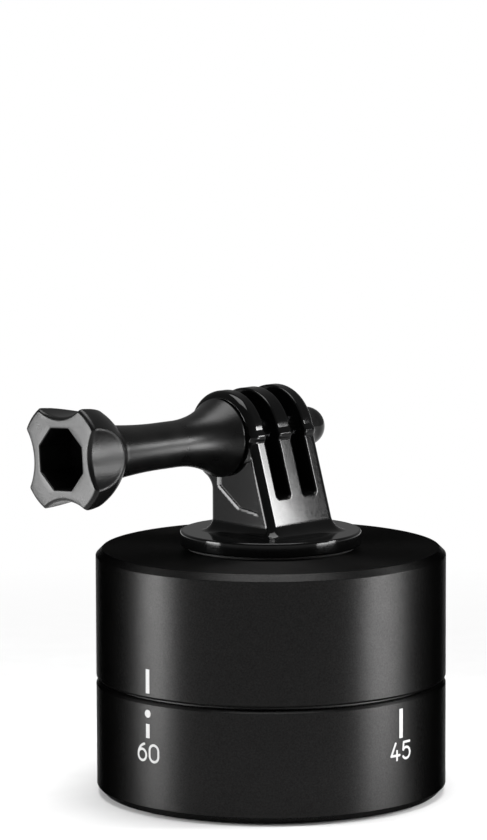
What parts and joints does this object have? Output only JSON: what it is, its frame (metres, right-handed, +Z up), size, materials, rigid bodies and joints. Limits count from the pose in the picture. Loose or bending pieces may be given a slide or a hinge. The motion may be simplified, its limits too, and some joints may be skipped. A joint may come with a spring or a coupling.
{
  "type": "panoramic tripod head",
  "caption": "Clockwork panning head: black drum in two halves with minute marks, three-pronged clevis adapter on top, long thumbscrew, tripod thread below.",
  "frame": {"origin": "on the drum's axis at the standing face, which is also the mouth of the tripod thread", "axes": "+Z up along the drum's axis, -Y front, where the marks 60 and 45 face left and right of the middle; the thumbscrew's handle points front left, half way between -X and -Y"},
  "size_m": [0.0706, 0.0641, 0.0702],
  "materials": {
    "case_black": "satin",
    "foot_rubber": "matte",
    "bush_steel": "machined",
    "screw_steel": "black oxide",
    "nylon": "satin",
    "plate_brass": "brushed",
    "wheel_brass": "polished",
    "arbor_steel": "polished",
    "spring_steel": "blued",
    "hub_aluminium": "machined",
    "adapter_plastic": "gloss",
    "nut_black": "gloss black",
    "knob_plastic": "fine satin",
    "rod_steel": "polished"
  },
  "bodies": {
    "base": {"base_shell": "case_black", "foot_pad": "foot_rubber", "tripod_bush": "bush_steel", "case_screw_1": "screw_steel", "case_screw_2": "screw_steel", "case_screw_3": "screw_steel", "plate_screw_1": "screw_steel", "plate_screw_2": "screw_steel", "plate_screw_3": "screw_steel", "glide_ring": "nylon", "lower_plate": "plate_brass", "upper_plate": "plate_brass", "pillar_1": "plate_brass", "pillar_2": "plate_brass", "pillar_3": "plate_brass", "spring_post": "arbor_steel", "mainspring": "spring_steel"},
    "pan_head": {"top_shell": "case_black", "drive_hub": "hub_aluminium", "hub_screw_1": "screw_steel", "hub_screw_2": "screw_steel", "hub_screw_3": "screw_steel", "camera_screw": "bush_steel", "adapter_washer": "foot_rubber", "mount_adapter": "adapter_plastic", "adapter_insert": "wheel_brass", "clamp_nut": "nut_black", "main_arbor": "arbor_steel", "main_wheel": "wheel_brass", "clutch_spring": "arbor_steel", "clutch_clip": "arbor_steel", "hub_pin": "arbor_steel"},
    "thumbscrew": {"thumb_knob": "knob_plastic", "clamp_rod": "rod_steel"},
    "second_wheel_set": {"second_arbor": "arbor_steel", "second_wheel": "wheel_brass"},
    "third_wheel_set": {"third_arbor": "arbor_steel", "third_wheel": "wheel_brass"},
    "escape_wheel_set": {"escape_arbor": "arbor_steel", "escape_wheel": "wheel_brass"},
    "anchor_set": {"anchor_arbor": "arbor_steel", "pallet_anchor": "arbor_steel", "balance_ring": "wheel_brass"}
  },
  "joints": [
    {"name": "pan", "type": "hinge", "parent": "base", "child": "pan_head", "pos_m": [0, 0, 0.031], "axis": [0, 0, -1], "range_deg": [0, 360], "deforming": ["mainspring"]},
    {"name": "thumbscrew_turn", "type": "hinge", "parent": "pan_head", "child": "thumbscrew", "pos_m": [-0.00325, 0.00325, 0.06145], "axis": [0.7071, 0.7071, 0], "range_deg": [0, 720]},
    {"name": "second_wheel_spin", "type": "hinge", "parent": "base", "child": "second_wheel_set", "pos_m": [0.01296, 0, 0.0187], "axis": [0, 0, -1], "range_deg": [-1800, 0]},
    {"name": "third_wheel_spin", "type": "hinge", "parent": "base", "child": "third_wheel_set", "pos_m": [0.00988, 0.00846, 0.0187], "axis": [0, 0, -1], "range_deg": [0, 7200]},
    {"name": "escape_wheel_spin", "type": "hinge", "parent": "base", "child": "escape_wheel_set", "pos_m": [0.00339, 0.01221, 0.0187], "axis": [0, 0, -1], "range_deg": [-28800, 0]},
    {"name": "anchor_rock", "type": "hinge", "parent": "base", "child": "anchor_set", "pos_m": [-0.00489, 0.01177, 0.0187], "axis": [0, 0, -1], "range_deg": [-4, 4]}
  ],
  "couplings": [
    {"joint": "second_wheel_spin", "follows": "pan", "ratio": -5},
    {"joint": "third_wheel_spin", "follows": "pan", "ratio": 20},
    {"joint": "escape_wheel_spin", "follows": "pan", "ratio": -80}
  ]
}
